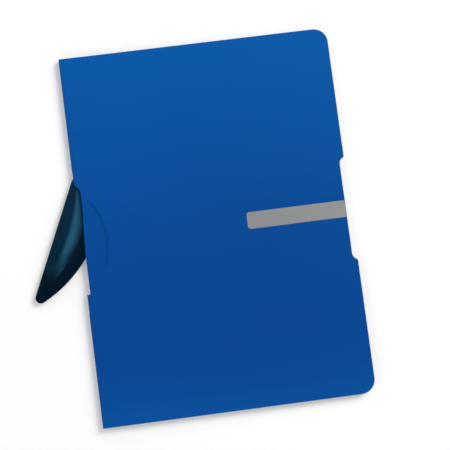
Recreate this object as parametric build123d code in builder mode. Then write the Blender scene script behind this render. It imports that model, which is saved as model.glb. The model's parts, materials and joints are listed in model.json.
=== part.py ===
from build123d import *
import os
from math import cos, hypot, radians, sin, sqrt

os.makedirs("parts", exist_ok=True)

# Covers: one A4 folder of polypropylene sheet, creased at the spine.
cover_width = 228.0
cover_height = 310.0
sheet = 0.6
inner_space = 5.4
corner_radius = 12.0

# Crease beads: the round fold lines of the living hinges.
crease_gap = 0.1

# Thumb notch, punched through the free edge of both covers.
notch_depth = 4.2
notch_floor_length = 75.6
notch_corner_radius = 6.0
notch_lip_radius = 1.2

# Clip: swings about a rivet, from flush in the spine to its rest pose out at the side.
pivot_inset = 13.0
pivot_below_top = 103.36
rest_swing = 24.0
clip_reach = 106.2
clip_tip_radius = 4.5
clip_bow_radius = 110.0
head_wall_gap = 0.3

# Slot of the clip: the gap in the spine wall, and the smaller inset in the edges of the covers.
wall_gap_above_pivot = 6.5
wall_gap_below_tip = 1.6
slot_top = 100.6
slot_bottom = 199.4
slot_inset = 3.05
slot_inset_upper = 4.7
slot_inset_middle = 4.75
slot_front_start = 6.7
slot_upper_run = 12.4
slot_middle_run = 32.4
slot_lower_run = 61.4
slot_step_radius = 0.6

# Crescent score in the front cover, beside the slot.
score_width = 0.5
score_depth = 0.15
score_top_inset = 11.2
score_top_run = 20.7
score_apex_inset = 22.5
score_apex_run = 50.4
score_end_inset = 15.0
score_end_run = 78.2

# Title strip: a thin label that runs off at the thumb notch.
label_left_inset = 140.0
label_width = 14.1
label_thickness = 0.1
label_corner_radius = 2.5
label_edge_gap = 0.3

# Rivet, cap and washer of the pivot.
rivet_foot_radius = 7.0
rivet_foot_thickness = 0.5
rivet_shank_radius = 3.0
rivet_stud_radius = 1.5
rivet_stud_length = 1.0
running_gap = 0.05
stud_gap = 0.03
seat_pocket_radius = 8.0
seat_wall = 0.8
washer_radius = 6.0
washer_thickness = 0.3
cap_radius = 5.0
cap_thickness = 0.6
cap_side_gap = 0.2

# Jaws: thicknesses, the space for paper, the crown and the rim.
hub_radius = 9.5
hub_web = 0.75
hub_step = 0.25
upper_rim_thickness = 0.8
crown_height = 0.9
paper_gap = 0.8
lip_width = 2.6
jaw_edge_round = 0.25
lower_jaw_inset = 0.4

# Crown of the upper jaw: a half-moon with its chord by the straight edge, and its smaller flat top.
crown_foot_edge = 1.0
crown_foot_start = -7.0
crown_foot_end = 102.5
crown_foot_rise = 21.0
crown_foot_corner = 3.0
crown_top_edge = 9.0
crown_top_start = 14.0
crown_top_end = 82.0
crown_top_rise = 9.0
crown_top_corner = 1.5

# Grip bead under the curved edge of the upper jaw.
bead_inset = 1.2
bead_width = 1.4
bead_height = 0.5

# Snap pins of the upper jaw, in blind sockets of the lower jaw.
pin_radius = 0.7
pin_length = 0.7
pin_gap = 0.05
pin_count = 4
pin_first = 14.0
pin_spacing = 26.0

# Places worked out from the driving sizes.
spine_x = -cover_width / 2
free_x = cover_width / 2
top_y = cover_height / 2
back_crease_z = sheet / 2
front_cover_z = sheet + inner_space
front_top_z = front_cover_z + sheet
front_crease_z = front_cover_z + sheet / 2
crease_x = spine_x + sheet / 2
crease_radius = sheet / 2
panel_x = crease_x + crease_radius + crease_gap
notch_half_length = notch_floor_length / 2 + notch_corner_radius
slot_top_y = top_y - slot_top
slot_bottom_y = top_y - slot_bottom
pivot_x = spine_x + pivot_inset
pivot_y = top_y - pivot_below_top
head_radius = pivot_inset - sheet - head_wall_gap

# The farthest point of the tip from the pivot, where it crosses the spine wall.
tip_side = pivot_inset - clip_tip_radius
tip_sweep = hypot(clip_reach, tip_side) + clip_tip_radius
wall_gap_top_y = pivot_y + wall_gap_above_pivot
wall_gap_bottom_y = pivot_y - sqrt(tip_sweep**2 - (pivot_inset - sheet) ** 2) - wall_gap_below_tip

# Heights of the pivot stack and the jaws.
seat_top_z = 2 * sheet
washer_top_z = seat_top_z + washer_thickness
hub_bottom_z = washer_top_z + running_gap
counterbore_z = hub_bottom_z + hub_web
cap_bottom_z = counterbore_z + running_gap
cap_top_z = cap_bottom_z + cap_thickness
lower_jaw_top_z = cap_top_z + running_gap
lower_jaw_bottom_z = hub_bottom_z + hub_step
upper_jaw_z = lower_jaw_top_z + paper_gap
crown_z = upper_jaw_z + upper_rim_thickness

# The clip's own directions: X from the pivot towards the tip, along the straight edge, Y inboard.
clip_x_dir = (-sin(radians(rest_swing)), -cos(radians(rest_swing)), 0)


def clip_plane(height):
    return Plane(origin=(pivot_x, pivot_y, height), x_dir=clip_x_dir, z_dir=(0, 0, 1))


def draw_blade(edge, head, tip_along, tip_radius, bow_radius, inset=0, mode=Mode.ADD):
    # Half-moon outline: a straight edge, a round tip and a round head, joined by one bowed arc
    # that is tangent to both. The pivot is at the origin and the straight edge at y = -edge.
    tip = Vector(tip_along, tip_radius - edge)
    edge = edge - inset
    head = head - inset
    tip_radius = tip_radius - inset
    bow_radius = bow_radius - inset
    from_head = bow_radius - head
    from_tip = bow_radius - tip_radius
    span = tip.length
    along = (from_head**2 - from_tip**2 + span**2) / (2 * span)
    toward = tip.normalized()
    aside = Vector(toward.Y, -toward.X)
    centre = toward * along + aside * sqrt(from_head**2 - along**2)
    bow_at_head = (centre * -1).normalized() * head
    bow_at_tip = tip + (tip - centre).normalized() * tip_radius
    bow_middle = centre + ((bow_at_head + bow_at_tip) / 2 - centre).normalized() * bow_radius
    tip_middle = tip + Vector(1, 0) * tip_radius
    with BuildLine() as outline:
        Line((0, -edge), (tip.X, -edge))
        ThreePointArc((tip.X, -edge), tip_middle, bow_at_tip)
        ThreePointArc(bow_at_tip, bow_middle, bow_at_head)
        ThreePointArc(bow_at_head, (-head, 0), (0, -head))
        Line((0, -head), (0, -edge))
    make_face(outline.edges(), mode=mode)


def draw_half_moon(edge, start, end, rise):
    # Segment of a disc, its chord parallel to the clip's straight edge.
    chord = edge - pivot_inset
    with BuildLine() as outline:
        Line((start, chord), (end, chord))
        ThreePointArc((end, chord), ((start + end) / 2, chord + rise), (start, chord))
    make_face(outline.edges())


def draw_jaw(inset=0, mode=Mode.ADD):
    # Outline of the clip's jaws, drawn in from the outer edge by the inset.
    draw_blade(
        pivot_inset, head_radius, clip_reach, clip_tip_radius, clip_bow_radius, inset, mode
    )


# Plan outline of a cover: square at the crease, rounded and notched at the free edge.
with BuildSketch() as cover_outline:
    with BuildLine():
        Polyline(
            (panel_x, -top_y), (free_x, -top_y), (free_x, top_y), (panel_x, top_y), close=True
        )
    make_face()
    free_corners = cover_outline.vertices().filter_by_position(Axis.X, free_x, free_x)
    fillet(free_corners, radius=corner_radius)
    with Locations((free_x + notch_corner_radius, 0)):
        RectangleRounded(
            2 * (notch_depth + notch_corner_radius),
            2 * notch_half_length,
            notch_corner_radius,
            mode=Mode.SUBTRACT,
        )
    notch_lips = (
        cover_outline.vertices()
        .filter_by_position(Axis.X, free_x, free_x)
        .filter_by_position(Axis.Y, -notch_half_length, notch_half_length)
    )
    fillet(notch_lips, radius=notch_lip_radius)

# Punched slot along the crease edge of a cover.
with BuildSketch() as plain_slot:
    with BuildLine():
        Polyline(
            (spine_x, slot_top_y),
            (spine_x + slot_inset, slot_top_y),
            (spine_x + slot_inset, slot_bottom_y),
            (spine_x, slot_bottom_y),
            close=True,
        )
    make_face()
    slot_corners = plain_slot.vertices().filter_by_position(
        Axis.X, spine_x + slot_inset, spine_x + slot_inset
    )
    fillet(slot_corners, radius=slot_step_radius)

# The front cover's slot starts lower, and is drawn back further beside the clip in a shallow bow.
with BuildSketch() as bowed_slot:
    with BuildLine():
        Line((spine_x, slot_bottom_y), (spine_x, slot_top_y - slot_front_start))
        Line(
            (spine_x, slot_top_y - slot_front_start),
            (spine_x + slot_inset_upper, slot_top_y - slot_upper_run),
        )
        ThreePointArc(
            (spine_x + slot_inset_upper, slot_top_y - slot_upper_run),
            (spine_x + slot_inset_middle, slot_top_y - slot_middle_run),
            (spine_x + slot_inset, slot_top_y - slot_lower_run),
        )
        Line(
            (spine_x + slot_inset, slot_top_y - slot_lower_run),
            (spine_x + slot_inset, slot_bottom_y),
        )
        Line((spine_x + slot_inset, slot_bottom_y), (spine_x, slot_bottom_y))
    make_face()
    slot_foot = (
        bowed_slot.vertices()
        .filter_by_position(Axis.X, spine_x + slot_inset, spine_x + slot_inset)
        .sort_by(Axis.Y)[0]
    )
    fillet(slot_foot, radius=slot_step_radius)

# Back cover, with the raised seat that hides the rivet's foot in its underside.
with BuildPart() as back_cover:
    with BuildSketch():
        add(cover_outline.sketch)
        add(plain_slot.sketch, mode=Mode.SUBTRACT)
        with Locations((pivot_x, pivot_y)):
            Circle(seat_pocket_radius, mode=Mode.SUBTRACT)
    extrude(amount=sheet)
    with BuildSketch(Plane.XY.offset(sheet)):
        with Locations((pivot_x, pivot_y)):
            Circle(seat_pocket_radius + seat_wall)
            Circle(rivet_shank_radius + running_gap, mode=Mode.SUBTRACT)
    extrude(amount=sheet)
back_cover.part.label = "back_cover"
export_step(back_cover.part, "parts/back_cover.step")

# Front cover, with the crescent score beside the slot.
with BuildPart() as front_cover:
    with BuildSketch(Plane.XY.offset(front_cover_z)):
        add(cover_outline.sketch)
        add(bowed_slot.sketch, mode=Mode.SUBTRACT)
    extrude(amount=sheet)
    with BuildSketch(Plane.XY.offset(front_top_z)):
        with BuildLine():
            ThreePointArc(
                (spine_x + score_top_inset, slot_top_y - score_top_run),
                (spine_x + score_apex_inset, slot_top_y - score_apex_run),
                (spine_x + score_end_inset, slot_top_y - score_end_run),
            )
        trace(line_width=score_width)
    extrude(amount=-score_depth, mode=Mode.SUBTRACT)
front_cover.part.label = "front_cover"
export_step(front_cover.part, "parts/front_cover.step")

# Spine wall above and below the clip's slot: a strip of sheet, rounded about both crease lines.
spine_strips = {
    "spine_upper": (wall_gap_top_y, top_y),
    "spine_lower": (-top_y, wall_gap_bottom_y),
}
for strip_name, (low_y, high_y) in spine_strips.items():
    with BuildPart() as strip:
        with BuildSketch(Plane.XZ.offset(-high_y)):
            with Locations((crease_x, (back_crease_z + front_crease_z) / 2)):
                Rectangle(sheet, front_crease_z - back_crease_z)
            with Locations((crease_x, back_crease_z), (crease_x, front_crease_z)):
                Circle(crease_radius)
        extrude(amount=high_y - low_y)
    strip.part.label = strip_name
    export_step(strip.part, f"parts/{strip_name}.step")

# Title strip on the front cover, level with the thumb notch.
label_left = spine_x + label_left_inset
label_right = free_x - notch_depth - label_edge_gap
with BuildPart() as title_label:
    with BuildSketch(Plane.XY.offset(front_top_z)) as label_face:
        with Locations(((label_left + label_right) / 2, 0)):
            Rectangle(label_right - label_left, label_width)
        left_corners = label_face.vertices().group_by(Axis.X)[0]
        fillet(left_corners, radius=label_corner_radius)
    extrude(amount=label_thickness)
title_label.part.label = "title_label"
export_step(title_label.part, "parts/title_label.step")

# Rivet of the pivot: a wide foot under the seat and a hollow shank.
with BuildPart() as pivot_rivet:
    with BuildSketch(Plane.XY.offset(sheet - rivet_foot_thickness)):
        with Locations((pivot_x, pivot_y)):
            Circle(rivet_foot_radius)
    extrude(amount=rivet_foot_thickness)
    with BuildSketch(Plane.XY.offset(sheet)):
        with Locations((pivot_x, pivot_y)):
            Circle(rivet_shank_radius)
    extrude(amount=cap_bottom_z - sheet)
    with BuildSketch(Plane.XY.offset(cap_bottom_z)):
        with Locations((pivot_x, pivot_y)):
            Circle(rivet_stud_radius + stud_gap)
    extrude(amount=-(rivet_stud_length + stud_gap), mode=Mode.SUBTRACT)
pivot_rivet.part.label = "pivot_rivet"
export_step(pivot_rivet.part, "parts/pivot_rivet.step")

# Snap cap: a thin disc over the lower jaw, with a stud that snaps into the shank.
with BuildPart() as rivet_cap:
    with BuildSketch(Plane.XY.offset(cap_bottom_z)):
        with Locations((pivot_x, pivot_y)):
            Circle(cap_radius)
    extrude(amount=cap_thickness)
    with BuildSketch(Plane.XY.offset(cap_bottom_z)):
        with Locations((pivot_x, pivot_y)):
            Circle(rivet_stud_radius)
    extrude(amount=-rivet_stud_length)
rivet_cap.part.label = "rivet_cap"
export_step(rivet_cap.part, "parts/rivet_cap.step")

# Washer between the rivet seat and the hub of the lower jaw.
with BuildPart() as pivot_washer:
    with BuildSketch(Plane.XY.offset(seat_top_z)):
        with Locations((pivot_x, pivot_y)):
            Circle(washer_radius)
            Circle(rivet_shank_radius + running_gap, mode=Mode.SUBTRACT)
    extrude(amount=washer_thickness)
pivot_washer.part.label = "pivot_washer"
export_step(pivot_washer.part, "parts/pivot_washer.step")

# Snap pins stand in a row along the lip, on the clip's straight edge.
pin_row = -pivot_inset + lip_width / 2
pin_places = [(pin_first + index * pin_spacing, pin_row) for index in range(pin_count)]

# Lower jaw: the blade under the paper, with the hub that turns on the rivet.
with BuildPart() as lower_jaw:
    with BuildSketch(clip_plane(lower_jaw_bottom_z)):
        draw_jaw(lower_jaw_inset)
    extrude(amount=lower_jaw_top_z - lower_jaw_bottom_z)
    with BuildSketch(clip_plane(hub_bottom_z)):
        Circle(hub_radius)
    extrude(amount=lower_jaw_bottom_z - hub_bottom_z)
    with BuildSketch(clip_plane(hub_bottom_z)):
        Circle(rivet_shank_radius + running_gap)
    extrude(amount=lower_jaw_top_z - hub_bottom_z, mode=Mode.SUBTRACT)
    with BuildSketch(clip_plane(counterbore_z)):
        Circle(cap_radius + cap_side_gap)
    extrude(amount=lower_jaw_top_z - counterbore_z, mode=Mode.SUBTRACT)
    with BuildSketch(clip_plane(lower_jaw_top_z)):
        with Locations(*pin_places):
            Circle(pin_radius + pin_gap)
    extrude(amount=-(pin_length + pin_gap), mode=Mode.SUBTRACT)
lower_jaw.part.label = "clip_lower_jaw"
export_step(lower_jaw.part, "parts/clip_lower_jaw.step")

# Upper jaw: a flat rim, a raised crown, the lip along the straight edge with its snap pins,
# and the bead that grips the paper under the curved edge.
with BuildPart() as upper_jaw:
    with BuildSketch(clip_plane(upper_jaw_z)):
        draw_jaw()
    extrude(amount=upper_rim_thickness)
    rim_top_edges = upper_jaw.faces().sort_by(Axis.Z)[-1].edges()
    fillet(rim_top_edges, radius=jaw_edge_round)
    with BuildSketch(clip_plane(crown_z)) as crown_foot:
        draw_half_moon(crown_foot_edge, crown_foot_start, crown_foot_end, crown_foot_rise)
        fillet(crown_foot.vertices(), radius=crown_foot_corner)
    with BuildSketch(clip_plane(crown_z + crown_height)) as crown_top:
        draw_half_moon(crown_top_edge, crown_top_start, crown_top_end, crown_top_rise)
        fillet(crown_top.vertices(), radius=crown_top_corner)
    loft()
    with BuildSketch(clip_plane(upper_jaw_z)) as lip_face:
        draw_jaw()
        with Locations((clip_reach / 2, -pivot_inset + lip_width / 2)):
            Rectangle(clip_reach, lip_width, mode=Mode.INTERSECT)
    extrude(amount=-paper_gap)
    with BuildSketch(clip_plane(upper_jaw_z)):
        draw_jaw(bead_inset)
        draw_jaw(bead_inset + bead_width, mode=Mode.SUBTRACT)
    extrude(amount=-bead_height)
    with BuildSketch(clip_plane(lower_jaw_top_z)):
        with Locations(*pin_places):
            Circle(pin_radius)
    extrude(amount=-pin_length)
upper_jaw.part.label = "clip_upper_jaw"
export_step(upper_jaw.part, "parts/clip_upper_jaw.step")
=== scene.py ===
import bpy
import bmesh
import json
import math
from mathutils import Euler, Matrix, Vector, noise


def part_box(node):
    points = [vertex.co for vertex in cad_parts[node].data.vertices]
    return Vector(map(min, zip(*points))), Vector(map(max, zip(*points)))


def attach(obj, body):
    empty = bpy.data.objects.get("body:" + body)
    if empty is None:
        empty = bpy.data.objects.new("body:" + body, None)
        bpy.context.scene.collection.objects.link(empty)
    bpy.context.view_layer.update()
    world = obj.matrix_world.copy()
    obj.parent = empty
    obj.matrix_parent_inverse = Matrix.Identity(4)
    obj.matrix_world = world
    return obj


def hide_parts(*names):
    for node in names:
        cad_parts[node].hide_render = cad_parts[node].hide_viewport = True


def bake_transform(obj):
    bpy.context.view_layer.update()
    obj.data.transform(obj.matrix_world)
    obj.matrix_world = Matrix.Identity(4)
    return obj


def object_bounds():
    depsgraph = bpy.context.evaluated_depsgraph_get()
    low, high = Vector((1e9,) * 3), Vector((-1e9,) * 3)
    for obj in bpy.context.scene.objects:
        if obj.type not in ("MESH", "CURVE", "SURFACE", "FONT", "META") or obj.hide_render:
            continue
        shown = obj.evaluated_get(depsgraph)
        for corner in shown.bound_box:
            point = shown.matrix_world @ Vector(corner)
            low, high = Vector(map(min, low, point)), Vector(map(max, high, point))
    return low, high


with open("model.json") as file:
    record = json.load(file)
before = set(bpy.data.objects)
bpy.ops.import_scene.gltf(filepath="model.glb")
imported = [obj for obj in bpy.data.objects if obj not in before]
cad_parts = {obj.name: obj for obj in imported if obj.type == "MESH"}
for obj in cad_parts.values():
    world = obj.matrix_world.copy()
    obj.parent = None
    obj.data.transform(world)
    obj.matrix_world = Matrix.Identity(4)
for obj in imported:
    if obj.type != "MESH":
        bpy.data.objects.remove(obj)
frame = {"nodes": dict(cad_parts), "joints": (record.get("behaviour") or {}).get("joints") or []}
cadLow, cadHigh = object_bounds()
mm = 0.001
print("frame loaded:", len(frame["nodes"]), "nodes")

# the folder's own places, as the frame gives them
jointPlace = {j["name"]: Vector(j["pos_m"]) for j in frame["joints"]}
coverLow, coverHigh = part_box("front_cover")
upperLow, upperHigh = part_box("spine_upper")
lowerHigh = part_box("spine_lower")[1]
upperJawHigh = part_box("clip_upper_jaw")[1]
spineX = upperLow.x
freeX = coverHigh.x
topY = upperHigh.y
sheet = coverHigh.z - coverLow.z
creaseX = jointPlace["cover_fold"].x
pivot = jointPlace["clip_swing"]


def smooth(t):
    t = min(max(t, 0.0), 1.0)
    return t * t * (3 - 2 * t)


def spread(low, high, step):
    count = max(1, round((high - low) / step))
    return [low + (high - low) * k / count for k in range(count + 1)]


def tidyRows(values, closest):
    kept = []
    for value in sorted(values):
        if not kept or value - kept[-1] > closest:
            kept.append(value)
    return kept


def squareUp(values, low, high, clearance):
    # the same steps, with one exactly at low and one at high
    kept = [v for v in values if min(abs(v - low), abs(v - high)) > clearance]
    return sorted(kept + [low, high])


def through(points, x):
    # smooth line through (place, value) pairs, flat beyond its ends
    if x <= points[0][0]:
        return points[0][1]
    for k, ((x0, y0), (x1, y1)) in enumerate(zip(points, points[1:])):
        if x <= x1:
            before, after = points[max(k - 1, 0)], points[min(k + 2, len(points) - 1)]
            m0 = (y1 - before[1]) / (x1 - before[0]) * (x1 - x0)
            m1 = (after[1] - y0) / (after[0] - x0) * (x1 - x0)
            t = (x - x0) / (x1 - x0)
            return ((2 * t ** 3 - 3 * t ** 2 + 1) * y0 + (t ** 3 - 2 * t ** 2 + t) * m0
                    + (3 * t ** 2 - 2 * t ** 3) * y1 + (t ** 3 - t ** 2) * m1)
    return points[-1][1]


def addPiece(name, verts, faces, material):
    mesh = bpy.data.meshes.new(name)
    mesh.from_pydata(verts, [], faces)
    mesh.materials.append(material)
    piece = bpy.data.objects.new(name, mesh)
    bpy.context.scene.collection.objects.link(piece)
    return piece


def shadeSmooth(piece, sharpAngle):
    piece.data.polygons.foreach_set("use_smooth", [True] * len(piece.data.polygons))
    piece.data.set_sharp_from_angle(angle=math.radians(sharpAngle))


# Materials. An input is given either a plain value or the output that feeds it.
def feed(links, socket, value):
    if isinstance(value, bpy.types.NodeSocket):
        links.new(value, socket)
    else:
        socket.default_value = value


def addNode(tree, kind, inputs=None, **settings):
    # inputs are named or numbered sockets, settings belong to the node itself
    node = tree.nodes.new(kind)
    for key, value in settings.items():
        setattr(node, key, value)
    for key, value in (inputs or {}).items():
        feed(tree.links, node.inputs[key], value)
    return node


def calculate(tree, operation, *values, **settings):
    node = addNode(tree, "ShaderNodeMath", dict(enumerate(values)), operation=operation, **settings)
    return node.outputs[0]


def calculateVector(tree, operation, *values):
    node = addNode(tree, "ShaderNodeVectorMath", dict(enumerate(values)), operation=operation)
    return node.outputs["Value" if operation == "LENGTH" else "Vector"]


def ranged(tree, value, low, high, toLow=0.0, toHigh=1.0, kind="SMOOTHSTEP"):
    node = addNode(tree, "ShaderNodeMapRange", {
        "Value": value, "From Min": low, "From Max": high, "To Min": toLow, "To Max": toHigh,
    }, interpolation_type=kind)
    return node.outputs["Result"]


def mixed(tree, share, first, second):
    node = addNode(tree, "ShaderNodeMix", {0: share, 6: first, 7: second}, data_type="RGBA")
    return node.outputs[2]


def graded(tree, value, levels, kind="LINEAR"):
    # levels: (place, brightness), spread over the whole ramp from the first to the last
    ramp = addNode(tree, "ShaderNodeValToRGB", {"Fac": value})
    ramp.color_ramp.interpolation = kind
    stops = ramp.color_ramp.elements
    low, high = levels[0][0], levels[-1][0]
    for k, (place, level) in enumerate(levels):
        share = (place - low) / (high - low)
        stop = stops[0] if k == 0 else stops[-1] if k == len(levels) - 1 else stops.new(share)
        stop.color = (level, level, level, 1)
    return ramp.outputs["Color"]


def twoTone(tree, value, dark, light, darkTo=0.0, lightFrom=1.0):
    ramp = addNode(tree, "ShaderNodeValToRGB", {"Fac": value})
    for stop, place, colour in zip(ramp.color_ramp.elements, (darkTo, lightFrom), (dark, light)):
        stop.position = place
        stop.color = colour
    return ramp.outputs["Color"]


def speckle(tree, place, scale, detail):
    pattern = addNode(tree, "ShaderNodeTexNoise", {"Vector": place, "Scale": scale, "Detail": detail})
    return pattern.outputs["Fac"]


def newMaterial(name, build):
    # build gives the shader's inputs, from the node tree and the place on the piece
    material = bpy.data.materials.new(name)
    material.use_nodes = True
    tree = material.node_tree
    place = tree.nodes.new("ShaderNodeTexCoord").outputs["Object"]
    for socket, value in build(tree, place).items():
        feed(tree.links, tree.nodes["Principled BSDF"].inputs[socket], value)
    return material


def grained(tree, height, strength, depth):
    bump = addNode(tree, "ShaderNodeBump", {"Strength": strength, "Distance": depth, "Height": height})
    return bump.outputs["Normal"]


coverFinish = {
    # the cover's blue in painted shade and in painted light; the painted light rows mix between them
    "shadedBlue": (0.0028, 0.0545, 0.262, 1),
    "light": (0.0030, 0.0935, 0.362, 1),
    # painted light and shade along the sheet, from its foot to its head: how light it is drawn there
    "paintedLightRows": [(-0.155, 0.60), (-0.138, 0.34), (-0.105, 0.035), (-0.03, 0.10), (0.04, 0.27), (0.155, 1.0)],
    "sideShade": (-0.100, 0.050, 0.915),   # from x, to x, and how much of the tone is left there
    "cloud": 0.16,                   # share of broad cloudy tone
    "cloudScale": 11.0,              # per metre
    "cloudDetail": 2.0,
    "sheen": (0.03, 0.42, 1.0, 1),   # the colour of its faint sheen, and its strength
    "sheenLevel": 0.3,
    "grainScale": 2600.0,            # fine moulded grain
    "grainDetail": 3.0,
    "grainDepth": 0.000035,
    "grainStrength": 0.6,
    "roughness": (0.40, 0.52),
    "scoreShadeColour": (0.001, 0.012, 0.06, 1),    # painted shade along the score and just inside it
    "scoreFade": (0.012, 0.016),     # how softly the score's lower and upper ends fade out
}


def paintedScoreShade(tree, place, across, along, score):
    # how far painted shade darkens the sheet, along the score and just inside it
    offset = calculateVector(tree, "SUBTRACT", place, (score["centre"].x, score["centre"].y, cadHigh.z))
    beyond = calculate(tree, "SUBTRACT", calculateVector(tree, "LENGTH", offset), score["radius"])
    shadeProfile = score["shadeProfile"]
    reach = ranged(tree, beyond, shadeProfile[0][0] * mm, shadeProfile[-1][0] * mm, kind="LINEAR")
    fadeLow, fadeHigh = coverFinish["scoreFade"]
    ends = calculate(
        tree, "MULTIPLY",
        ranged(tree, along, score["lowY"], score["lowY"] + fadeLow),
        ranged(tree, along, score["highY"], score["highY"] - fadeHigh),
    )
    # only on the paper's side of the crease, so that an opened cover shows no second line
    shown = calculate(tree, "MULTIPLY", ends, calculate(tree, "GREATER_THAN", across, creaseX))
    return calculate(tree, "MULTIPLY", shown, graded(tree, reach, shadeProfile))


def coverSurface(tree, place, score=None):
    c = coverFinish
    parts = addNode(tree, "ShaderNodeSeparateXYZ", {"Vector": place})
    across, along = parts.outputs["X"], parts.outputs["Y"]
    # painted light and shade along the sheet: lightest at its head, lighter at its foot, darkest below the
    # middle
    height = ranged(tree, along, c["paintedLightRows"][0][0], c["paintedLightRows"][-1][0], kind="LINEAR")
    rows = graded(tree, height, c["paintedLightRows"], "B_SPLINE")
    cloud = speckle(tree, place, c["cloudScale"], c["cloudDetail"])
    drift = calculate(tree, "MULTIPLY_ADD", cloud, c["cloud"], -c["cloud"] / 2)
    tone = mixed(tree, calculate(tree, "ADD", rows, drift, use_clamp=True), c["shadedBlue"], c["light"])
    fromX, toX, left = c["sideShade"]
    shaded = addNode(tree, "ShaderNodeVectorMath", {
        "Vector": tone, "Scale": ranged(tree, across, fromX, toX, 1.0, left),
    }, operation="SCALE")
    colour = shaded.outputs["Vector"]
    if score:
        # painted shade along the score, darkest on the line and fading out inside it
        colour = mixed(tree, paintedScoreShade(tree, place, across, along, score), colour, c["scoreShadeColour"])
    grain = speckle(tree, place, c["grainScale"], c["grainDetail"])
    return {
        "Base Color": colour,
        "Roughness": ranged(tree, grain, 0.0, 1.0, *c["roughness"], kind="LINEAR"),
        "Normal": grained(tree, grain, c["grainStrength"], c["grainDepth"]),
        "Specular IOR Level": c["sheenLevel"],
        "Specular Tint": c["sheen"],
    }


clipFinish = {
    "rim": (0.0012, 0.0058, 0.0135, 1),
    "crownDark": (0.0020, 0.0165, 0.034, 1),
    "crownLight": (0.0036, 0.024, 0.047, 1),
    "crownRange": (0.3, 0.75),
    "shine": (0.13, 0.60, 1.0, 1),
    "roughness": 0.13,
    "flowScale": 60.0,
    "flowDetail": 1.0,
    "rimShadeHeight": 4.62 * mm,      # below this, on the thin rim, the plastic is painted nearly black as painted shade
    "crownGlowHeight": 5.05 * mm,    # above this the crown is painted lighter, a painted glow of light through the plastic
}


def clipSurface(tree, place):
    c = clipFinish
    flow = speckle(tree, place, c["flowScale"], c["flowDetail"])
    crownTone = twoTone(tree, flow, c["crownDark"], c["crownLight"], *c["crownRange"])
    height = addNode(tree, "ShaderNodeSeparateXYZ", {"Vector": place}).outputs["Z"]
    # painted shade and light by height: the plastic's dark petrol, darker on the low rim and lighter on the
    # raised crown
    crownGlowShare = ranged(tree, height, c["rimShadeHeight"], c["crownGlowHeight"])
    return {
        "Base Color": mixed(tree, crownGlowShare, c["rim"], crownTone),
        "Roughness": c["roughness"],
        "Specular Tint": c["shine"],
    }


labelFinish = {
    "dark": (0.241, 0.245, 0.252, 1),
    "light": (0.292, 0.296, 0.301, 1),
    "range": (0.3, 0.7),
    "brush": (900.0, 12000.0, 1.0),    # fine lines along the strip, per metre
    "brushDetail": 2.0,
    "brushStrength": 0.3,
    "brushDepth": 0.00001,
    "metal": 0.35,
    "roughness": 0.38,
}


def labelSurface(tree, place):
    c = labelFinish
    stretched = addNode(tree, "ShaderNodeMapping", {"Vector": place, "Scale": c["brush"]}).outputs["Vector"]
    brush = speckle(tree, stretched, 1.0, c["brushDetail"])
    return {
        "Base Color": twoTone(tree, brush, c["dark"], c["light"], *c["range"]),
        "Metallic": c["metal"],
        "Roughness": c["roughness"],
        "Normal": grained(tree, brush, c["brushStrength"], c["brushDepth"]),
    }


mouldedFinish = {
    "rivet": (0.006, 0.02, 0.035),
    "rivetRoughness": 0.35,
    "washer": (0.62, 0.62, 0.58),
    "washerRoughness": 0.5,
    "contrast": (0.85, 1.15),    # the grain's dark and light, as shares of the part's colour
    "grainScale": 3000.0,
    "grainDetail": 2.0,
    "grainStrength": 0.4,
    "grainDepth": 0.00002,
}


def mouldedSurface(tree, place, part):
    c = mouldedFinish
    grain = speckle(tree, place, c["grainScale"], c["grainDetail"])
    dark, light = ([channel * k for channel in c[part]] + [1] for k in c["contrast"])
    return {
        "Base Color": twoTone(tree, grain, dark, light),
        "Roughness": c[part + "Roughness"],
        "Normal": grained(tree, grain, c["grainStrength"], c["grainDepth"]),
    }


# The pressed score beside the slot, a crescent through three points. These are measured from the
# spine, and down from the folder's head.
crescent = {
    "start": Vector((7.2, 117.0)) * mm,
    "apex": Vector((22.5, 152.5)) * mm,
    "end": Vector((15.8, 183.0)) * mm,
    "depth": 0.36 * mm,       # the flap inside the score sits this much lower at its edge
    "edgeWidth": 0.75 * mm,
    "easeBack": 7 * mm,       # and comes back up over this distance
    "flapDrop": 0.10 * mm,
    "fade": 9 * mm,
    "spineEase": 9 * mm,
    # mm beyond the score, and how much painted shade darkens the sheet there
    "shadeProfile": [(-11.0, 0.0), (-6.0, 0.06), (-1.8, 0.10), (-0.4, 0.20), (0.4, 0.19), (2.0, 0.0)],
}


def circleThrough(a, b, c):
    d = 2 * (a.x * (b.y - c.y) + b.x * (c.y - a.y) + c.x * (a.y - b.y))
    a2, b2, c2 = a.length_squared, b.length_squared, c.length_squared
    x = (a2 * (b.y - c.y) + b2 * (c.y - a.y) + c2 * (a.y - b.y)) / d
    y = (a2 * (c.x - b.x) + b2 * (a.x - c.x) + c2 * (b.x - a.x)) / d
    centre = Vector((x, y))
    return centre, (a - centre).length


crescentCentre, crescentRadius = circleThrough(crescent["start"], crescent["apex"], crescent["end"])
scoreLine = {
    "centre": Vector((spineX + crescentCentre.x, topY - crescentCentre.y)),
    "radius": crescentRadius,
    "lowY": topY - crescent["end"].y,
    "highY": topY - crescent["start"].y,
    "shadeProfile": crescent["shadeProfile"],
}

scoreShadedSheet = newMaterial("mattBlueSheetScoreShaded", lambda tree, place: coverSurface(tree, place, scoreLine))
blueSheet = newMaterial("mattBlueSheet", coverSurface)
petrolPlastic = newMaterial("glossPetrolPlastic", clipSurface)
silverFilm = newMaterial("satinSilverFilm", labelSurface)
rivetPlastic = newMaterial("satinRivetPlastic", lambda tree, place: mouldedSurface(tree, place, "rivet"))
washerPlastic = newMaterial("naturalWasherPlastic", lambda tree, place: mouldedSurface(tree, place, "washer"))
print("materials made")

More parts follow.
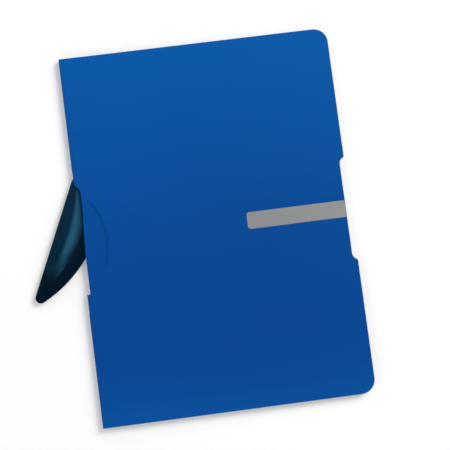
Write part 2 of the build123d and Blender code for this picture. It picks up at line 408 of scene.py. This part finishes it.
# the folder's sheet: sizes beside the crease and along the punched edges
sheetShape = {
    "rollRadius": 1.7 * mm,        # of the sheet's middle, where it turns down into the spine
    "rollSteps": 8,
    "lipSteps": 3,                 # steps of the roll that are left out beside the slot
    "wallStep": 0.7 * mm,
    "leastWall": 0.1 * mm,         # a shorter stretch of spine wall is left to the other sheet
    "liftEase": 1 * mm,            # down the wall, the sheet's waves die out over this distance
    "cornerRadius": 12 * mm,
    "cornerSteps": 14,
    "notchDepth": 4.2 * mm,
    "notchFloor": 75.6 * mm,
    "notchRadius": 6 * mm,
    "notchSteps": 12,
    "notchLip": 0.7 * mm,
    "slotTop": 100.6 * mm,
    "slotBottom": 199.4 * mm,
    "slotInset": 3.05 * mm,
    # front cover: how far its slot is drawn back, at these distances below the slot's top
    "frontSlot": [(4.9, 0), (6.2, 0.3), (7.6, 1.6), (9.2, 3.2), (11.2, 4.35), (14.5, 4.85), (22, 5.1),
                  (32.4, 4.85), (40, 4.3), (50, 3.7), (58, 3.25), (64, 3.05)],
    "edgeRound": 0.12 * mm,
    "edgeSteps": 3,
    "seamReach": 0.01 * mm,
    "weld": 0.02 * mm,
    "rimWeld": 0.004 * mm,
    "sharpAngle": 35,
}

# Where the sheet's columns and rows stand, in mm. Columns are measured from the roll, rows from the middle.
sheetGrid = {
    "nearRoll": [0, 0.7, 1.4, 2.1],
    "besideSlot": (2.75, 8, 0.75),
    "flap": (8.5, 23.5),
    "flapStep": (0.5, 2.5),        # fine and plain
    "field": [(25, 110, 3.2), (112, 208, 3.2)],
    "nearFree": [211, 214, 216, 218, 219.5, 220.6, 221.4, 221.8, 222.4, 223.2, 224, 224.8, 225.4, 226],
    "closestColumns": 0.2,
    "rowStep": 3.1,
    "fineRows": (182, 100, 1.0),   # below the folder's head
    "cutClearing": 0.6,            # no other row this close to a cut across the spine
    "cutWidth": 0.15,
    "closestRows": 0.12,
    "endClearing": 0.1,
}

# the rivet's seat: a low disc pressed up out of the back sheet, hollow below
rivetSeat = {
    "rings": [3.06, 3.4, 4.4, 6.0, 7.6, 8.0, 8.15, 8.3, 8.45, 8.6, 8.75, 8.9, 9.1],   # radii in mm
    "riseFrom": 8.95 * mm,
    "riseTo": 8.05 * mm,
    "rise": 0.6 * mm,
    "patch": 9.6 * mm,         # half the side of the square patch that holds the rings
    "patchReach": 0.01 * mm,   # what lies this close outside the patch still counts as in it
    "patchClearing": 0.5 * mm,
    "sides": 96,
}


def rightEdge(y):
    shape = sheetShape
    fromCorner = abs(y) - (topY - shape["cornerRadius"])
    if fromCorner > 0:
        return freeX - shape["cornerRadius"] + math.sqrt(
            max(shape["cornerRadius"] ** 2 - fromCorner ** 2, 0))
    past = abs(y) - shape["notchFloor"] / 2
    floor = freeX - shape["notchDepth"]
    if past <= 0:
        return floor
    if past >= shape["notchRadius"]:
        return freeX
    arc = floor + shape["notchRadius"] - math.sqrt(shape["notchRadius"] ** 2 - past ** 2)
    lip = shape["notchLip"]
    blend = max(lip - abs(arc - freeX), 0) / lip
    return min(arc, freeX) - blend * blend * lip / 4


def plainSlotEdge(down):
    return sheetShape["slotInset"]


def bowedSlotEdge(down):
    return mm * through(sheetShape["frontSlot"], down / mm)


def sheetColumns(fine):
    # distance along the sheet from where it starts to turn down
    g = sheetGrid
    x = g["nearRoll"] + spread(*g["besideSlot"]) + spread(*g["flap"], g["flapStep"][0 if fine else 1])
    for low, high, step in g["field"]:
        x += spread(low, high, step)
    return tidyRows([v * mm for v in x + g["nearFree"]], g["closestColumns"] * mm)


def sheetRows(fine):
    shape, g = sheetShape, sheetGrid
    y = spread(-topY, topY, g["rowStep"] * mm)
    corner = topY - shape["cornerRadius"]
    for k in range(shape["cornerSteps"] + 1):
        along = shape["cornerRadius"] * math.sin(math.pi / 2 * k / shape["cornerSteps"])
        y += [corner + along, -corner - along]
    floor = shape["notchFloor"] / 2
    for k in range(shape["notchSteps"] + 1):
        along = shape["notchRadius"] * k / shape["notchSteps"]
        y += [floor + along, -floor - along]
    if fine:
        low, high, step = (v * mm for v in g["fineRows"])
        y += spread(topY - low, topY - high, step)
    for cut in (upperLow.y, topY - shape["slotTop"], topY - shape["slotBottom"], lowerHigh.y):
        y = [v for v in y if abs(v - cut) > g["cutClearing"] * mm]
        y += [cut - g["cutWidth"] * mm, cut + g["cutWidth"] * mm]
    inside = [v for v in tidyRows(y, g["closestRows"] * mm) if abs(v) < topY - g["endClearing"] * mm]
    return [-topY] + inside + [topY]


def sheetMiddle(wallHeight, outSign, panelZ, slotEdge, lift, fine):
    # The sheet's middle surface: a panel, the fold beside it and its part of the spine wall.
    # outSign is +1 for the front cover, which turns down into the wall, and -1 for the back.
    shape = sheetShape
    radius, steps = shape["rollRadius"], shape["rollSteps"]
    flatStart = creaseX + radius
    turn = [-radius * math.pi / 2 * k / steps for k in range(steps, 0, -1)]
    lipEnd = turn[shape["lipSteps"]]
    wallRun = abs(panelZ - outSign * radius - wallHeight)
    wall = []
    if wallRun > shape["leastWall"]:
        wall = [turn[0] - d for d in spread(0, wallRun, shape["wallStep"])[:0:-1]]
    columns = wall + turn + sheetColumns(fine)
    rows = sheetRows(fine)
    if not fine:
        half, clearing = rivetSeat["patch"], rivetSeat["patchClearing"]
        columns = squareUp(columns, pivot.x - half - flatStart, pivot.x + half - flatStart, clearing)
        rows = squareUp(rows, pivot.y - half, pivot.y + half, clearing)

    def leftEdge(y):
        if y >= upperLow.y or y <= lowerHigh.y:
            return columns[0]
        down = topY - y - shape["slotTop"]
        if down < 0 or y < topY - shape["slotBottom"]:
            return lipEnd
        return max(slotEdge(down) - (flatStart - spineX), lipEnd)

    def place(u, y):
        if u >= 0:
            return Vector((flatStart + u, y, panelZ + lift(flatStart + u, y)))
        angle = min(-u / radius, math.pi / 2)
        run = max(-u - radius * math.pi / 2, 0)
        x = flatStart - radius * math.sin(angle)
        z = panelZ - outSign * (radius * (1 - math.cos(angle)) + run)
        return Vector((x, y, z + lift(flatStart, y) * smooth(1 - run / shape["liftEase"])))

    middle = bmesh.new()
    wide = len(columns)
    verts = []
    for y in rows:
        low, high = leftEdge(y), rightEdge(y) - flatStart
        verts += [middle.verts.new(place(min(max(u, low), high), y)) for u in columns]
    for j in range(len(rows) - 1):
        for k in range(wide - 1):
            a = j * wide + k
            middle.faces.new((verts[a], verts[a + 1], verts[a + wide + 1], verts[a + wide]))
    bmesh.ops.remove_doubles(middle, verts=middle.verts, dist=shape["weld"])
    bmesh.ops.dissolve_degenerate(middle, edges=middle.edges, dist=shape["weld"])
    return middle


def thicken(name, middle, outSign, panelZ, seam, material):
    # gives the middle surface its thickness and a rounded rim, but no rounding at the seam
    shape = sheetShape
    half = sheet / 2
    turnCentre = Vector((creaseX + shape["rollRadius"], 0, panelZ - outSign * shape["rollRadius"]))

    def outward(p):
        if p.x >= turnCentre.x:
            return Vector((0, 0, outSign))
        if outSign * (p.z - turnCentre.z) <= 0:
            return Vector((-1, 0, 0))
        return Vector((p.x - turnCentre.x, 0, p.z - turnCentre.z)).normalized()

    middle.verts.index_update()
    rimOut = {}
    rimEdges = [e for e in middle.edges if len(e.link_faces) == 1]
    for edge in rimEdges:
        a, b = edge.verts
        along = (b.co - a.co).normalized()
        side = along.cross(outward((a.co + b.co) / 2))
        if side.dot((a.co + b.co) / 2 - edge.link_faces[0].calc_center_median()) < 0:
            side = -side
        for v in (a, b):
            rimOut[v.index] = rimOut.get(v.index, Vector()) + side
    solid = bmesh.new()
    upper, lower, rims = {}, {}, {}
    steps = shape["edgeSteps"]
    for v in middle.verts:
        n = outward(v.co)
        if v.index not in rimOut:
            upper[v.index] = solid.verts.new(v.co + n * half)
            lower[v.index] = solid.verts.new(v.co - n * half)
            continue
        out = rimOut[v.index].normalized()
        r = 0.0 if abs(v.co.z - seam) < shape["seamReach"] else shape["edgeRound"]
        rim = []
        for side in (1, -1):
            for k in range(steps + 1):
                angle = math.pi / 2 / steps * (k if side > 0 else steps - k)
                rim.append(solid.verts.new(
                    v.co + n * side * (half - r + r * math.cos(angle)) - out * r * (1 - math.sin(angle))))
        rims[v.index] = rim
        upper[v.index], lower[v.index] = rim[0], rim[-1]
    for face in middle.faces:
        ring = [v.index for v in face.verts]
        solid.faces.new([upper[i] for i in ring])
        solid.faces.new([lower[i] for i in reversed(ring)])
    for edge in rimEdges:
        a, b = (rims[v.index] for v in edge.verts)
        for k in range(len(a) - 1):
            solid.faces.new((a[k], b[k], b[k + 1], a[k + 1]))
    bmesh.ops.remove_doubles(solid, verts=solid.verts, dist=shape["rimWeld"])
    bmesh.ops.recalc_face_normals(solid, faces=solid.faces)
    piece = addPiece(name, [], [], material)
    solid.to_mesh(piece.data)
    solid.free()
    middle.free()
    shadeSmooth(piece, shape["sharpAngle"])
    return piece


waves = {
    "perMetre": (9, 7),
    "slice": 3.1,              # where the wave pattern is cut
    "height": 0.12 * mm,
    "sag": 0.04 * mm,          # the waves lie this much below the panel's level
    "fromSpine": 30 * mm,      # the sheet is flat along the spine, and waves from here on
    "stripHalf": 9 * mm,       # and flat under the title strip
    "stripEase": 25 * mm,
}


def frontLift(x, y):
    # gentle waves of the sheet, and the flap sunk a little inside the crescent score
    c, w = crescent, waves
    down, inboard = topY - y, x - spineX
    wave = noise.noise(Vector((x * w["perMetre"][0], y * w["perMetre"][1], w["slice"]))) * w["height"]
    calm = smooth((abs(y) - w["stripHalf"]) / w["stripEase"])
    calm = 1 - (1 - calm) * smooth(x / w["stripEase"])
    z = (wave * smooth(inboard / w["fromSpine"]) - w["sag"]) * calm
    away = (Vector((inboard, down)) - crescentCentre).length - crescentRadius
    span = smooth((down - c["start"].y) / c["fade"]) * smooth((c["end"].y - down) / c["fade"])
    sunk = c["flapDrop"] + (c["depth"] - c["flapDrop"]) * (1 - smooth(-away / c["easeBack"]))
    return z - sunk * smooth(-away / c["edgeWidth"]) * span * smooth(inboard / c["spineEase"])


def noLift(x, y):
    return 0.0


seamZ = 2.0 * mm           # height where the two sheets meet in the spine wall

frontZ = coverLow.z + sheet / 2
frontMiddle = sheetMiddle(seamZ, 1, frontZ, bowedSlotEdge, frontLift, True)
frontSheet = thicken("frontCoverSheet", frontMiddle, 1, frontZ, seamZ, scoreShadedSheet)
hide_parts("front_cover", "spine_upper", "spine_lower")
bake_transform(frontSheet)
print("front sheet:", len(frontSheet.data.polygons), "faces")


def pressRivetSeat(middle, z):
    # puts rings in place of the square patch round the pivot, and raises the inner ones
    seat = rivetSeat
    half, sides = seat["patch"] + seat["patchReach"], seat["sides"]

    def inSquare(p):
        return abs(p.x - pivot.x) < half and abs(p.y - pivot.y) < half

    gone = [f for f in middle.faces if inSquare(f.calc_center_median())]
    bmesh.ops.delete(middle, geom=gone, context="FACES")
    frameEdges = [e for e in middle.edges if len(e.link_faces) == 1 and all(inSquare(v.co) for v in e.verts)]
    rings = []
    for radius in seat["rings"]:
        r = radius * mm
        up = seat["rise"] * smooth((seat["riseFrom"] - r) / (seat["riseFrom"] - seat["riseTo"]))
        ring = []
        for k in range(sides):
            angle = 2 * math.pi * k / sides
            x, y = pivot.x + r * math.cos(angle), pivot.y + r * math.sin(angle)
            ring.append(middle.verts.new((x, y, z + up)))
        rings.append(ring)
    for inner, outer in zip(rings, rings[1:]):
        for k in range(sides):
            n = (k + 1) % sides
            middle.faces.new((inner[k], outer[k], outer[n], inner[n]))
    last = rings[-1]
    ringEdges = [middle.edges.get((last[k], last[(k + 1) % sides])) for k in range(sides)]
    bmesh.ops.bridge_loops(middle, edges=frameEdges + ringEdges)
    bmesh.ops.recalc_face_normals(middle, faces=middle.faces)


backZ = cadLow.z + sheet / 2
backMiddle = sheetMiddle(seamZ, -1, backZ, plainSlotEdge, noLift, False)
pressRivetSeat(backMiddle, backZ)
backSheet = thicken("backCoverSheet", backMiddle, -1, backZ, seamZ, blueSheet)
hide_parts("back_cover")
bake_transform(backSheet)
print("back sheet:", len(backSheet.data.polygons), "faces")

# the clip, drawn in its own directions: along from the rivet to the tip, across towards the paper
clipShape = {
    "turn": 24,                 # degrees that it is swung out at rest
    "edge": 13.0,               # the rest in mm, in the clip's own directions
    "headRadius": 12.1,
    "shoulder": 7,
    "reach": 106.2,
    "tipRadius": 4.5,
    "bowRadius": 110.0,
    "foldFrom": -7.0,           # ends of the crown's half-moon, and how far it bulges
    "foldTo": 103.5,
    "foldRise": 19.6,
    "foldChord": -12.0,
    "stationStep": 1.2,
    "headSteps": 16,
    "tipSteps": 10,
    "edgeRound": 0.35,
    "edgeSteps": 4,
    "margins": [0.4, 0.9, 1.3, 1.6, 1.9, 2.2, 2.4, 2.6, 3.2],   # columns beside both edges
    "leastWidth": 2.6,          # where the jaw is narrower than this many last margins, they close up
    "innerColumns": 14,         # from the margins to the fold, and from the fold to the other margins
    "outerColumns": 6,
    "foldClearing": 0.06,       # share of the jaw's width kept free between the fold and the margins
    "weld": 0.01,
    "sharpAngle": 40,
}
clipTurn = math.radians(clipShape["turn"])
clipAlong = Vector((-math.sin(clipTurn), -math.cos(clipTurn), 0))
clipAcross = Vector((math.cos(clipTurn), -math.sin(clipTurn), 0))


def bowArc():
    # centre of the bowed edge, tangent to the round head and the round tip, and where it meets them
    c = clipShape
    tip = Vector((c["reach"], c["tipRadius"] - c["edge"]))
    fromHead, fromTip = c["bowRadius"] - c["headRadius"], c["bowRadius"] - c["tipRadius"]
    along = (fromHead ** 2 - fromTip ** 2 + tip.length_squared) / (2 * tip.length)
    toward = tip.normalized()
    centre = toward * along + Vector((toward.y, -toward.x)) * math.sqrt(fromHead ** 2 - along ** 2)
    atHead = -centre.normalized() * c["headRadius"]
    atTip = tip + (tip - centre).normalized() * c["tipRadius"]
    return tip, centre, atHead.x, atTip.x


tipCentre, bowCentre, bowFrom, bowTo = bowArc()
foldHalf = (clipShape["foldTo"] - clipShape["foldFrom"]) / 2
foldRadius = (foldHalf ** 2 + clipShape["foldRise"] ** 2) / (2 * clipShape["foldRise"])
foldCentre = Vector((
    clipShape["foldFrom"] + foldHalf,
    clipShape["foldChord"] + clipShape["foldRise"] - foldRadius,
))


def clipPoint(along, across, height):
    # along and across in mm, height in metres
    flat = Vector((pivot.x, pivot.y, 0)) + clipAlong * (along * mm) + clipAcross * (across * mm)
    return Vector((flat.x, flat.y, height))


def circleTop(centre, radius, along):
    return centre.y + math.sqrt(max(radius ** 2 - (along - centre.x) ** 2, 0))


def lowEdge(along):
    c = clipShape
    if along < 0:
        return -math.sqrt(max(c["headRadius"] ** 2 - along ** 2, 0))
    if along > tipCentre.x:
        return 2 * tipCentre.y - circleTop(tipCentre, c["tipRadius"], along)
    return -c["headRadius"] - (c["edge"] - c["headRadius"]) * smooth(along / c["shoulder"])


def highEdge(along):
    c = clipShape
    if along < bowFrom:
        return math.sqrt(max(c["headRadius"] ** 2 - along ** 2, 0))
    if along > bowTo:
        return circleTop(tipCentre, c["tipRadius"], along)
    return circleTop(bowCentre, c["bowRadius"], along)


def clipStations():
    c = clipShape
    heads, tips = c["headSteps"], c["tipSteps"]
    head = [-c["headRadius"] * math.cos(math.pi / 2 * k / heads) for k in range(heads + 1)]
    tip = [tipCentre.x + c["tipRadius"] * math.sin(math.pi / 2 * k / tips) for k in range(tips + 1)]
    return head + spread(0, tipCentre.x, c["stationStep"])[1:-1] + tip


def outwardAt(edge, along, side):
    c = clipShape
    tiny, step = 0.001, 0.01
    if along <= -c["headRadius"] + tiny:
        return Vector((-1, 0))
    if along >= tipCentre.x + c["tipRadius"] - tiny:
        return Vector((1, 0))
    slope = (edge(along + step) - edge(along - step)) / (2 * step)
    return Vector((-slope, 1)).normalized() * side


def foldAcross(along):
    return max(circleTop(foldCentre, foldRadius, along), clipShape["foldChord"])


def acrossPlaces(width, foldAt):
    # places across the jaw: fixed steps by both edges, even steps up to the fold and beyond it
    c = clipShape
    margins, before, beyond = c["margins"], c["innerColumns"], c["outerColumns"]
    scale = min(1, width / (c["leastWidth"] * margins[-1]))
    least = c["foldClearing"] * width
    low = [m * scale for m in margins]
    high = [width - m * scale for m in reversed(margins)]
    fold = min(max(foldAt, low[-1] + least), high[0] - least)
    inner = [low[-1] + (fold - low[-1]) * k / before for k in range(1, before + 1)]
    inner += [fold + (high[0] - fold) * k / beyond for k in range(1, beyond)]
    return low + inner + high


def jawSolid(name, topHeight, bottomHeight, material):
    # a moulded jaw between two height functions, with the clip's outline and rounded edges
    edgeRound, steps = clipShape["edgeRound"], clipShape["edgeSteps"]
    stations = clipStations()
    lows = [(Vector((u, lowEdge(u))), outwardAt(lowEdge, u, -1)) for u in stations]
    highs = [(Vector((u, highEdge(u))), outwardAt(highEdge, u, 1)) for u in stations]
    verts, faces = [], []

    def ring(drawIn, height):
        start = len(verts)
        for p, n in lows + highs[::-1]:
            q = p - n * drawIn
            verts.append(clipPoint(q.x, q.y, height(q)))
        return start

    def grid(height, flip):
        start, wide = len(verts), 0
        for (lowP, lowN), (highP, highN) in zip(lows, highs):
            a, b = lowP - lowN * edgeRound, highP - highN * edgeRound
            width = max((b - a).length, 1e-6)
            places = [0] + acrossPlaces(width, foldAcross(a.x) - a.y) + [width]
            wide = len(places)
            for d in places:
                q = a.lerp(b, d / width)
                verts.append(clipPoint(q.x, q.y, height(q)))
        for i in range(len(lows) - 1):
            for j in range(wide - 1):
                a = start + i * wide + j
                quad = (a, a + wide, a + wide + 1, a + 1)
                faces.append(quad if flip else quad[::-1])

    def roundedRing(k, height, side):
        # ring number k of a rounded edge: 0 by the face, the last one at the full outline
        angle = math.pi / 2 * k / steps
        drop = side * edgeRound * (1 - math.cos(angle)) * mm
        return ring(edgeRound * (1 - math.sin(angle)), lambda q: height(q) - drop)

    grid(topHeight, True)
    rings = [roundedRing(k, topHeight, 1) for k in range(steps + 1)]
    rings += [roundedRing(k, bottomHeight, -1) for k in range(steps, -1, -1)]
    around = 2 * len(lows)
    for a, b in zip(rings, rings[1:]):
        for k in range(around):
            n = (k + 1) % around
            faces.append((a + k, b + k, b + n, a + n))
    grid(bottomHeight, False)
    piece = addPiece(name, verts, faces, material)
    work = bmesh.new()
    work.from_mesh(piece.data)
    weld = clipShape["weld"] * mm
    bmesh.ops.remove_doubles(work, verts=work.verts, dist=weld)
    bmesh.ops.dissolve_degenerate(work, edges=work.edges, dist=weld)
    bmesh.ops.recalc_face_normals(work, faces=work.faces)
    work.to_mesh(piece.data)
    work.free()
    shadeSmooth(piece, clipShape["sharpAngle"])
    return piece


crown = {
    "rimTop": upperJawHigh.z - 0.9 * mm,   # the flat rim's top face
    "height": 0.88 * mm,
    "peakAt": 0.42,       # share of the way from the straight edge to the fold
    "edgeShare": 0.45,    # how high the crown already stands at the straight edge
    "power": (1.6, 1.5),  # how round the outer and the inner slope are
    "fadeHead": (-8.0, 14.0),
    "fadeTip": (62.0, 98.0),
    "rimHollow": 0.05 * mm,
    "hollowHead": (-5, 5),
    "dimple": (97.0, -8.6, 4.0, 0.10 * mm),   # along, across, radius, depth
    "leastRun": 0.5,      # no slope is drawn over less than this
    "foldNear": 0.08,     # how close to the fold, and how far below the rim, an edge is kept crisp
    "foldBelow": 0.1 * mm,
}


def distanceInside(q):
    # rough distance from the jaw's outline, in mm
    c = clipShape
    if q.x > tipCentre.x:
        return c["tipRadius"] - (q - tipCentre).length
    if q.x < bowFrom:
        return c["headRadius"] - q.length
    return min(q.y - lowEdge(q.x), c["bowRadius"] - (q - bowCentre).length)


def between(low, high, x):
    return smooth((x - low) / (high - low))


def crownTop(q):
    c = crown
    low = lowEdge(q.x)
    fold = foldAcross(q.x)
    amount = between(*c["fadeHead"], q.x) * between(*c["fadeTip"][::-1], q.x)
    t = (q.y - low) / max(fold - low, c["leastRun"])
    peak = c["peakAt"]
    if t < peak:
        rise = 1 - (1 - c["edgeShare"]) * ((peak - t) / peak) ** c["power"][0]
    else:
        rise = max(1 - ((t - peak) / (1 - peak)) ** c["power"][1], 0)
    z = c["rimTop"] + c["height"] * rise * amount
    if t > 1:
        across = (q.y - fold) / max(highEdge(q.x) - fold, c["leastRun"])
        z -= c["rimHollow"] * math.sin(math.pi * min(across, 1)) * between(*c["hollowHead"], q.x)
    along, side, radius, depth = c["dimple"]
    away = (q - Vector((along, side))).length / radius
    return z - depth * (1 - smooth(away))


grip = {
    "jawDepth": 0.8 * mm,      # of the plain jaw below the rim's top face
    "lipDepth": 0.8 * mm,      # and of the lip along the straight edge below that
    "lipWidth": 2.5,
    "lipEase": (-0.2, 0.2),
    "lipReach": 0.3,
    "beadFrom": 1.2,
    "beadTo": 2.6,
    "beadDrop": 0.5 * mm,
}


def gripBottom(q):
    g = grip
    jaw = crown["rimTop"] - g["jawDepth"]
    lip = jaw - g["lipDepth"]
    pastLip = q.y - lowEdge(q.x) - g["lipWidth"]
    if 0 <= q.x <= tipCentre.x and pastLip < g["lipReach"]:
        return lip + (jaw - lip) * between(*g["lipEase"], pastLip)
    middle = (g["beadFrom"] + g["beadTo"]) / 2
    half = (g["beadTo"] - g["beadFrom"]) / 2
    off = (distanceInside(q) - middle) / half
    return jaw - g["beadDrop"] * max(0, 1 - off * off) ** 0.5 if abs(off) < 1 else jaw


def keepFoldCrisp(piece):
    # marks the edges along the crown's fold as sharp
    onFold = []
    for v in piece.data.vertices:
        fromPivot = Vector((v.co.x - pivot.x, v.co.y - pivot.y, 0)) / mm
        away = abs(fromPivot.dot(clipAcross) - foldAcross(fromPivot.dot(clipAlong)))
        onFold.append(v.co.z > crown["rimTop"] - crown["foldBelow"] and away < crown["foldNear"])
    for edge in piece.data.edges:
        if all(onFold[k] for k in edge.vertices):
            edge.use_edge_sharp = True


upperJaw = jawSolid("clipUpperJaw", crownTop, gripBottom, petrolPlastic)
keepFoldCrisp(upperJaw)
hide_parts("clip_upper_jaw")
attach(upperJaw, "clip")
print("upper jaw:", len(upperJaw.data.polygons), "faces")


def ownMaterial(node, material):
    target = frame["nodes"][node]
    if not target.material_slots:
        target.data.materials.append(material)
    for place in target.material_slots:
        place.material = material


ownMaterial("title_label", silverFilm)
ownMaterial("clip_lower_jaw", petrolPlastic)
ownMaterial("pivot_rivet", rivetPlastic)
ownMaterial("rivet_cap", rivetPlastic)
ownMaterial("pivot_washer", washerPlastic)

# floor, light and camera
studio = {
    "floorSize": 8.0,
    "floorGap": 0.01 * mm,
    "floorColour": (0.97, 0.97, 0.97, 1),
    "whiteShare": 0.25,     # how far the floor goes to plain white where it is looked at
    "skyLevels": [(0.15, 0.90), (0.80, 0.32), (0.94, 0.19), (1.0, 0.05)],   # height, strength
    "keyPlace": (1.42, 0.92, 1.62),
    "keySize": 1.30,
    "keyPower": 50.0,
    "fillPlace": (-1.30, -0.75, 1.05),
    "fillSize": 0.40,
    "fillPower": 3.6,
    # soft bright patches overhead, which the clip's crown mirrors: aim, half width, strength
    "glows": [
        {"aim": (0.062, 0.028, 1), "turn": -24.0, "spread": (0.039, 0.085, 0.2), "level": 4.3},
        {"aim": (0.120, 0.000, 1), "turn": -24.0, "spread": (0.060, 0.100, 0.2), "level": 0.25},
    ],
    "glowReach": 2.0,       # half widths out to where a patch has faded
}


def seenBy(tree, *kinds):
    # 1 for a ray of any of these kinds, otherwise 0
    path = tree.nodes.new("ShaderNodeLightPath")
    seen = path.outputs[kinds[0]]
    for kind in kinds[1:]:
        seen = calculate(tree, "MAXIMUM", seen, path.outputs[kind])
    return seen


def makeFloor():
    half = studio["floorSize"] / 2
    z = cadLow.z - studio["floorGap"]
    corners = [(-half, -half, z), (half, -half, z), (half, half, z), (-half, half, z)]
    material = bpy.data.materials.new("paleTable")
    material.use_nodes = True
    tree = material.node_tree
    tree.nodes.clear()
    looked = seenBy(tree, "Is Camera Ray", "Is Transmission Ray", "Is Glossy Ray")
    matt = addNode(tree, "ShaderNodeBsdfDiffuse", {"Color": studio["floorColour"]})
    white = tree.nodes.new("ShaderNodeEmission")
    share = calculate(tree, "MULTIPLY", looked, studio["whiteShare"])
    mix = addNode(tree, "ShaderNodeMixShader", {"Fac": share, 1: matt.outputs[0], 2: white.outputs[0]})
    addNode(tree, "ShaderNodeOutputMaterial", {"Surface": mix.outputs[0]})
    floor = addPiece("floor", corners, [(0, 1, 2, 3)], material)


def makeSky():
    world = bpy.data.worlds.new("studio")
    bpy.context.scene.world = world
    world.use_nodes = True
    tree = world.node_tree
    tree.nodes.clear()
    place = tree.nodes.new("ShaderNodeTexCoord").outputs["Generated"]
    height = addNode(tree, "ShaderNodeSeparateXYZ", {"Vector": place}).outputs["Z"]
    ramp = addNode(tree, "ShaderNodeValToRGB", {"Fac": height})
    stops = ramp.color_ramp.elements
    for k, (share, level) in enumerate(studio["skyLevels"]):
        stop = stops[k] if k < 2 else stops.new(share)
        stop.position = share
        stop.color = (level, level, level, 1)
    total = ramp.outputs["Color"]
    for glow in studio["glows"]:
        patch = addNode(tree, "ShaderNodeMapping", {"Vector": place}, vector_type="TEXTURE")
        patch.inputs["Location"].default_value = glow["aim"]
        patch.inputs["Rotation"].default_value = (0, 0, math.radians(glow["turn"]))
        patch.inputs["Scale"].default_value = glow["spread"]
        away = calculateVector(tree, "LENGTH", patch.outputs["Vector"])
        soft = ranged(tree, away, 0.0, studio["glowReach"], glow["level"], 0.0)
        total = calculateVector(tree, "ADD", total, soft)
    light = addNode(tree, "ShaderNodeBackground", {"Color": total})
    white = tree.nodes.new("ShaderNodeBackground")
    looked = seenBy(tree, "Is Camera Ray", "Is Transmission Ray")
    mix = addNode(tree, "ShaderNodeMixShader", {"Fac": looked, 1: light.outputs[0], 2: white.outputs[0]})
    addNode(tree, "ShaderNodeOutputWorld", {"Surface": mix.outputs[0]})


def addLamp(name, place, size, power):
    # an area lamp that shines at the folder
    lamp = bpy.data.lights.new(name, "AREA")
    lamp.energy = power
    lamp.size = size
    holder = bpy.data.objects.new(name, lamp)
    holder.location = place
    holder.rotation_euler = Vector(place).to_track_quat("Z", "Y").to_euler()
    bpy.context.scene.collection.objects.link(holder)


makeFloor()
makeSky()
addLamp("keyLamp", studio["keyPlace"], studio["keySize"], studio["keyPower"])
addLamp("fillLamp", studio["fillPlace"], studio["fillSize"], studio["fillPower"])

view = {
    "place": (-0.04649, -0.08441, 1.04606),
    "turn": (4.921, -2.335, -7.44),
    "lens": 100,
}
lens = bpy.data.cameras.new("camera")
lens.lens = view["lens"]
camera = bpy.data.objects.new("camera", lens)
camera.location = view["place"]
camera.rotation_euler = Euler([math.radians(a) for a in view["turn"]], "XYZ")
bpy.context.scene.collection.objects.link(camera)
bpy.context.scene.camera = camera
bpy.context.scene.view_settings.view_transform = "Standard"
print("light and camera set")
